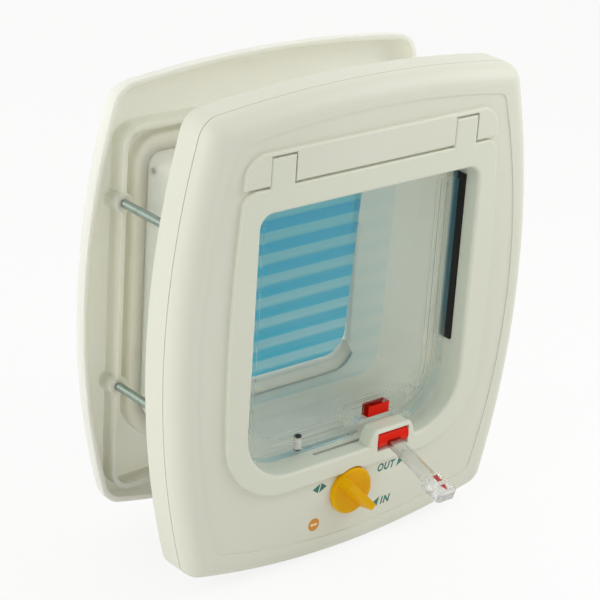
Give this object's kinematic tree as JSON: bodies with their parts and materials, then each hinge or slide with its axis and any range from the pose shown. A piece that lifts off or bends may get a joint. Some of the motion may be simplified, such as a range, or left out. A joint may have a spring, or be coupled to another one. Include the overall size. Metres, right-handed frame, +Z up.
{
  "type": "cat flap",
  "caption": "Four-way cat flap: inner and outer door frames joined by a sleeve and long screws, a clear swinging flap, a striped outer flap, a selector knob and a passage indicator lever.",
  "frame": {"origin": "middle of the inner frame's outline, on the plane where it meets the door", "axes": "+X to the right as seen from indoors, +Y outdoors through the door, +Z up"},
  "size_m": [0.225, 0.1378, 0.25],
  "materials": {
    "frame": "satin cream-white moulding",
    "clear": "clear moulding",
    "striped_clear": "clear moulding with blue bands",
    "red": "red moulding",
    "yellow": "yellow moulding",
    "cam": "plain moulding",
    "pile": "black pile",
    "steel": "drawn rod",
    "zinc": "zinc plated",
    "magnet": "dull grey"
  },
  "bodies": {
    "frame": {"inner_frame_body": "frame", "inner_frame_cover": "frame", "window_bezel": "frame", "flap_axle": "steel", "sill_magnet": "magnet", "wind_seal_left": "pile", "wind_seal_right": "pile", "detent_spring": "steel", "indicator_pin": "steel", "tunnel_sleeve": "frame", "outer_frame": "frame", "outer_flap_axle": "steel", "clamp_screws": "zinc"},
    "flap": {"flap_pane": "clear", "flap_striker": "red", "flap_magnet": "magnet"},
    "outer_flap": {"outer_flap": "striped_clear"},
    "selector": {"selector_knob": "yellow", "selector_cam": "cam"},
    "indicator": {"indicator_hub": "red", "indicator_lever": "clear"}
  },
  "joints": [
    {"name": "flap_swing", "type": "hinge", "parent": "frame", "child": "flap", "pos_m": [0, -0.011, 0.068], "axis": [1, 0, 0], "range_deg": [-65, 65]},
    {"name": "outer_flap_swing", "type": "hinge", "parent": "frame", "child": "outer_flap", "pos_m": [0, 0.0562, 0.068], "axis": [1, 0, 0], "range_deg": [-65, 65]},
    {"name": "selector_turn", "type": "hinge", "parent": "frame", "child": "selector", "pos_m": [0, 0, -0.0895], "axis": [0, 1, 0], "range_deg": [0, 270]},
    {"name": "indicator_tilt", "type": "hinge", "parent": "frame", "child": "indicator", "pos_m": [0.0255, -0.022, -0.067], "axis": [-1, 0, 0], "range_deg": [0, 30]}
  ],
  "couplings": [
    {"joint": "outer_flap_swing", "follows": "flap_swing", "ratio": 1}
  ]
}
